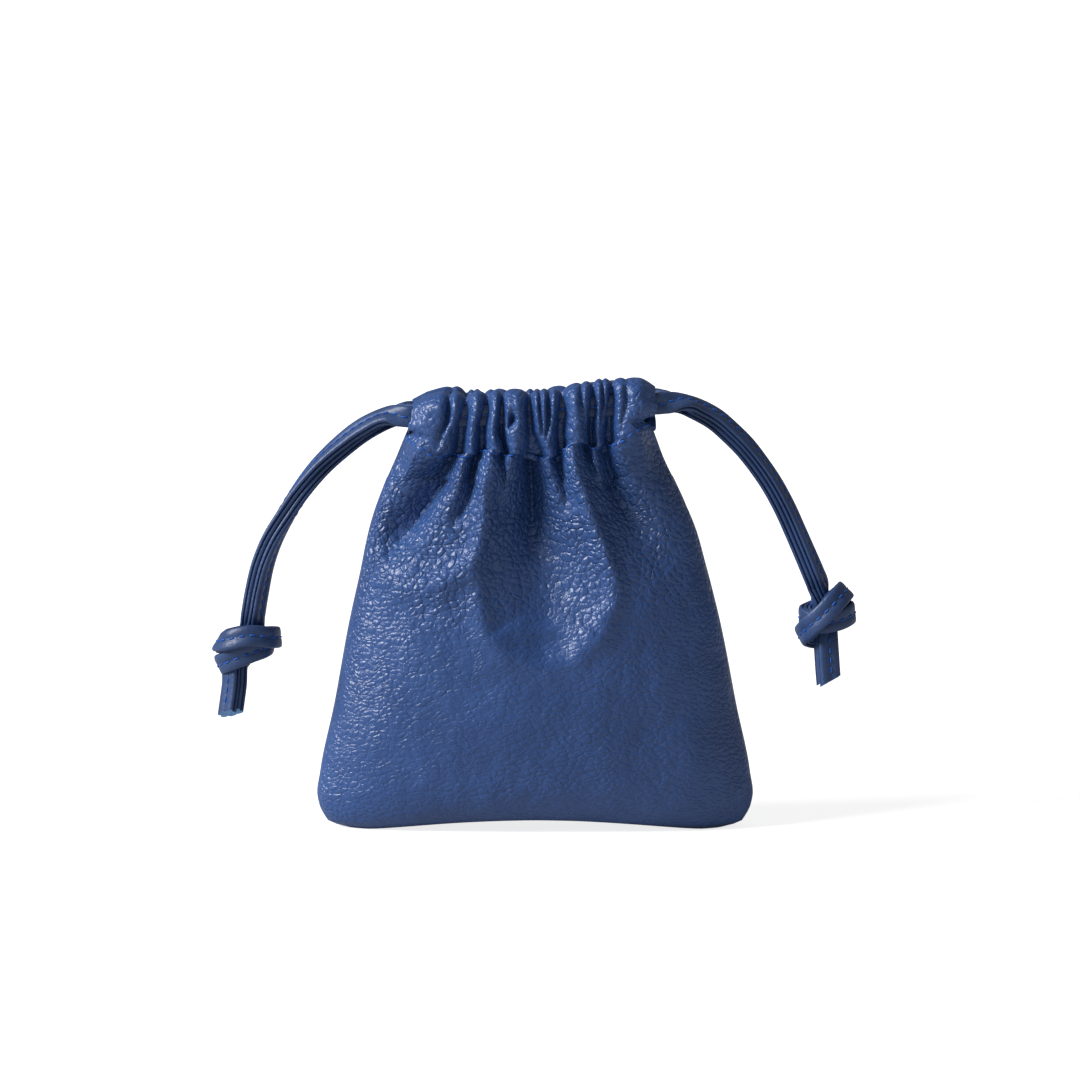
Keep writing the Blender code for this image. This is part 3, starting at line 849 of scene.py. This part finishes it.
def bundle_line(side, mouth, arc, tie, tie_at, tail, lay, depth):
    """One strap's line. Lay is 1 for the outer strap and -1 for the inner; depth is its channel's side."""
    rows = np.array([[x, 0.0, z, lean] for x, z, lean in arc])
    ahead = np.gradient(rows[:, [0, 2]], axis=0)
    ahead /= np.linalg.norm(ahead, axis=1)[:, None]
    outward = np.column_stack([-ahead[:, 1], ahead[:, 0]]) * side
    lean = np.radians(rows[:, 3])
    face = np.column_stack([outward[:, 0] * np.cos(lean), -np.sin(lean), outward[:, 1] * np.cos(lean)])
    apart = depth * MOUTH_APART * np.exp(-np.linspace(0, CLOSING, len(rows)))
    middle = rows[:, :3] + np.column_stack([np.zeros(len(rows)), apart, np.zeros(len(rows))])
    points = [np.concatenate([m, f]) for m, f in zip(middle, face)]
    points += [np.concatenate([np.array(tie_at) + t[:3], unit(t[3:])]) for t in np.array(tie, float)]
    points += [np.concatenate([t[:3], unit(t[3:])]) for t in np.array(tail, float)]
    points = np.array(points)
    points[:, :3] += points[:, 3:6] * STRAP_APART * lay
    places, height = mouth
    starts = [[side * x, depth * (channel_middle(1.0) + BESIDE), height, 0, -1, 0] for x in places]
    return smooth_line(np.vstack([starts, points]), STRAP_STEP)


# Places from the body's middle where a pair still lies in its channels, and its height there
LEFT_MOUTH = ((28.0, 34.0, 38.0), 123.8)
RIGHT_MOUTH = ((27.0, 32.0, 36.5), 127.6)

straps = []
for label, side, mouth, arc, tie, tie_at, tail in (
        ("left", -1, LEFT_MOUTH, LEFT_ARC, LEFT_TIE, LEFT_TIE_AT, LEFT_TAIL),
        ("right", 1, RIGHT_MOUTH, RIGHT_ARC, RIGHT_TIE, RIGHT_TIE_AT, RIGHT_TAIL)):
    for end, lay, depth in (("front", 1, -1), ("back", -1, 1)):
        line = bundle_line(side, mouth, arc, tie, tie_at, tail, lay, depth)
        nodes = [f"{label}_{end}_end", f"{label}_{end}_tail"] + ([f"{label}_knot"] if lay > 0 else [])
        exit_at = (side * EXIT_AT, depth * (channel_middle(1.0) + BESIDE), mouth[1])
        straps.append(build_strap(f"{label}_{end}_strap", line, nodes, exit_at, TAIL_SLANT, TAIL_BEVEL))

# %% [markdown]
# ### Hidden runs
#
# Inside, each cord goes through the front channel, round the far mouth, and back through the other channel.
# The two cords pass each other there, so each changes from the outer side of the channel's middle to the
# inner one on its way. Only the turn at the far mouth shows, but a cord that stopped short would leave an
# empty channel to look into.

# %% The cords' hidden runs
# One half of a run: x towards the cord's own mouth, and how far out of the channel's middle it lies
RUN = [(27.0, 1.45), (14.0, 1.3), (5.0, 0.6), (-5.0, -0.6), (-14.0, -1.3), (-27.0, -1.45), (-33.5, -1.45)]
RUN_LONG = RUN[0][0] - RUN[-1][0]
# The turn at the far mouth: x and y, up to the middle plane
TURN = [(36.6, -3.6), (38.0, -1.8), (38.3, 0.0)]
TURN_MIDDLE = -4.5


def hidden_run(side, near_height, far_height):
    """A cord's run from its front end, through the front channel, round the far mouth, and back behind."""
    front = []
    for x, out in RUN:
        height = near_height + (far_height - near_height) * (RUN[0][0] - x) / RUN_LONG
        front.append([side * x, -(channel_middle(abs(x) / NECK_HALF) + out), height, 0, -1, 0])
    bend = [[-side * x, y, far_height, -side * (y - TURN_MIDDLE), y - 0.01, 0] for x, y in TURN]
    back = [[x, -y, z, fx, -fy, 0] for x, y, z, fx, fy, _ in (front + bend[:-1])[::-1]]
    return smooth_line(front + bend + back, STRAP_STEP)


for label, side, near_height, far_height in (("left", -1, 123.8, 127.4), ("right", 1, 127.6, 124.0)):
    run = hidden_run(side, near_height, far_height)
    straps.append(build_strap(f"{label}_strap_run", run, [f"{label}_drawcord"]))

# %% [markdown]
# ## Materials
#
# Full-grain leather is dyed through and lightly polished. Its grain is a net of creases round small domes:
# round where the hide is thick and unstretched, and drawn out sideways low on the body, where it is also
# fainter. A cell pattern bent by noise gives both, and the height says which one shows. The body's leather
# is one material for both panels; the straps are smoother, with a lighter raw edge at their cut ends.

# %% Leather
BEND = 0.0032  # metres that the grain is pushed about, over wide features
CURL = 0.0009  # and over small ones
GRAIN_DEEP = 0.0005  # metres from a crown to a crease


def times_and_add(a, b, c):
    """a times b, plus c, for vectors."""
    return a.node("ShaderNodeVectorMath", {"operation": "MULTIPLY_ADD"}, in0=a, in1=b, in2=c)


def pebbles(spot, scale, stretch, seed):
    """Rounded grains with thin creases between: 1 on a crown, low in a crease. Stretch is along X."""
    bend = spot.node("ShaderNodeTexNoise", out=1, in0=spot, Scale=160.0, Detail=1.0)
    curl = spot.node("ShaderNodeTexNoise", out=1, in0=spot, Scale=700.0, Detail=1.0)
    place = times_and_add(bend, (BEND, BEND, BEND), spot)
    place = times_and_add(curl, (CURL, CURL, CURL), place)
    place = times_and_add(place, (1.0 / stretch, 1.0, 1.0), (seed, seed, seed))
    near = spot.node("ShaderNodeTexVoronoi", {"feature": "F1"}, in0=place, Scale=scale)
    edge = spot.node("ShaderNodeTexVoronoi", {"feature": "DISTANCE_TO_EDGE"}, in0=place, Scale=scale)
    dome = 1.0 - near * near * 1.5
    return dome * 0.6 + edge.ramp(0.0, 0.32) * 0.45


leather, spot, shader = material("body_leather", 0.36, specular=0.5)
parts = spot.node("ShaderNodeSeparateXYZ", in0=spot)
colour = spot.node("ShaderNodeTexNoise", in0=spot, Scale=45.0, Detail=3.0).ramp(0.3, 0.7)
plug(colour.mix((0.021, 0.060, 0.192, 1), (0.028, 0.076, 0.235, 1)), shader, "Base Color")
round_grain = pebbles(spot, 530.0, 1.2, 0.0)
long_grain = pebbles(spot, 760.0, 2.1, 0.7)
height_up = Wire(leather.node_tree, parts.socket.node.outputs["Z"])
patch = spot.node("ShaderNodeTexNoise", in0=spot, Scale=28.0, Detail=1.0)
# 0 low on the body, where the grain is long, and 1 high up, where it is round
which = (height_up * 14.0 + patch * 0.7).ramp(1.05, 1.45)
channel = height_up.ramp(0.108, 0.117)  # the grain is pressed flatter in the channel
grain = (round_grain * which + long_grain * (1.0 - which) * 0.5) * (1.0 - channel * 0.45)
fine = spot.node("ShaderNodeTexNoise", in0=spot, Scale=2200.0, Detail=3.0)
calm = spot.node("ShaderNodeTexNoise", in0=spot, Scale=20.0, Detail=1.0).ramp(0.35, 0.6, 0.7, 1.0)
height = grain * calm + fine * 0.10
bump = height.node("ShaderNodeBump", Strength=1.0, Distance=GRAIN_DEEP, Height=height)
plug(bump, shader, "Normal")
for piece in (front_panel, back_panel):
    piece.data.materials.append(leather)

# %% Strap leather, cut edges and thread
strap_leather, spot, shader = material("strap_leather", 0.45, specular=0.5)
colour = spot.node("ShaderNodeTexNoise", in0=spot, Scale=70.0, Detail=3.0).ramp(0.3, 0.7)
plug(colour.mix((0.017, 0.044, 0.130, 1), (0.025, 0.060, 0.170, 1)), shader, "Base Color")
grain = spot.node("ShaderNodeTexNoise", in0=spot, Scale=900.0, Detail=4.0)
plug(grain.node("ShaderNodeBump", Strength=0.4, Distance=0.0004, Height=grain), shader, "Normal")

cut_edge, spot, shader = material("cut_edge", 0.7, specular=0.2)
fibre = spot.node("ShaderNodeTexNoise", in0=spot, Scale=1500.0, Detail=3.0).ramp(0.3, 0.7)
plug(fibre.mix((0.10, 0.24, 0.50, 1), (0.22, 0.42, 0.72, 1)), shader, "Base Color")

thread_material, spot, shader = material("thread", 0.55, specular=0.3)
twist = spot.node("ShaderNodeTexNoise", in0=spot, Scale=2500.0, Detail=2.0).ramp(0.3, 0.7)
plug(twist.mix((0.008, 0.075, 0.36, 1), (0.02, 0.13, 0.55, 1)), shader, "Base Color")

for made, thread in straps:
    made.data.materials.append(strap_leather)
    made.data.materials.append(cut_edge)
    thread.data.materials.append(thread_material)
for made in (front_thread, back_thread):
    made.data.materials.append(thread_material)
